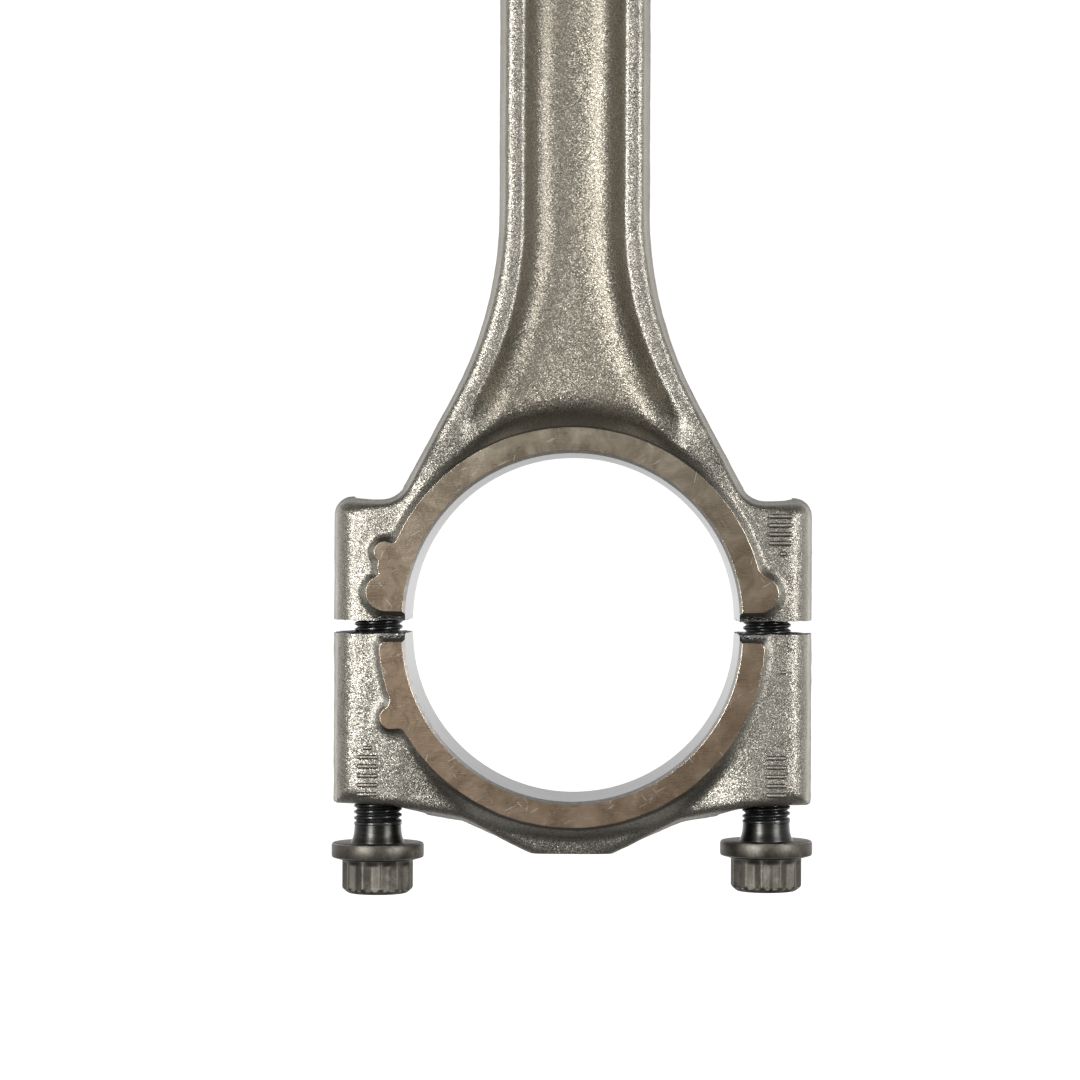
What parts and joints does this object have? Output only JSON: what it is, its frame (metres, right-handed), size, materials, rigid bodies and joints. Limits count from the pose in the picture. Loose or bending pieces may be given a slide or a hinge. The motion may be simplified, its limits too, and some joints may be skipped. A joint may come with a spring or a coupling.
{
  "type": "connecting rod",
  "caption": "Forged steel connecting rod with a fracture-split big end, its cap drawn slightly off on flanged twelve-point bolts, and a bronze small-end bush.",
  "frame": {"origin": "centre of the bounding box's underside, level with the end of the left bolt's head at rest; the crank-pin axis of the rod half is 45.15 mm above it and the piston-pin axis 189.15 mm above it", "axes": "+Z from the big end towards the small end, +X across the two bolts to the right bolt, +Y along the crank pin, away from the viewer of the front"},
  "size_m": [0.0792, 0.025, 0.2086],
  "materials": {
    "forged_steel": "shot-blasted grey-beige forging with ground thrust faces and a bored, lightly honed big end",
    "cap_steel": "the same forging as the rod, cracked off it, with ground thrust faces",
    "bush_bronze": "turned bronze, finely bored",
    "bolt_steel": "heat-treated dark steel with an oiled black thread"
  },
  "bodies": {
    "rod": {"rod_body": "forged_steel", "small_end_bush": "bush_bronze"},
    "cap": {"bearing_cap": "cap_steel"},
    "left_bolt": {"left_cap_bolt": "bolt_steel"},
    "right_bolt": {"right_cap_bolt": "bolt_steel"}
  },
  "joints": [
    {"name": "cap_draw", "type": "slide", "parent": "rod", "child": "cap", "axis": [0, 0, 1], "range_m": [-0.06, 0.00215]},
    {"name": "left_bolt_draw", "type": "slide", "parent": "cap", "child": "left_bolt", "axis": [0, 0, 1], "range_m": [-0.05, 0.00665]},
    {"name": "right_bolt_draw", "type": "slide", "parent": "cap", "child": "right_bolt", "axis": [0, 0, 1], "range_m": [-0.05, 0.00605]}
  ]
}
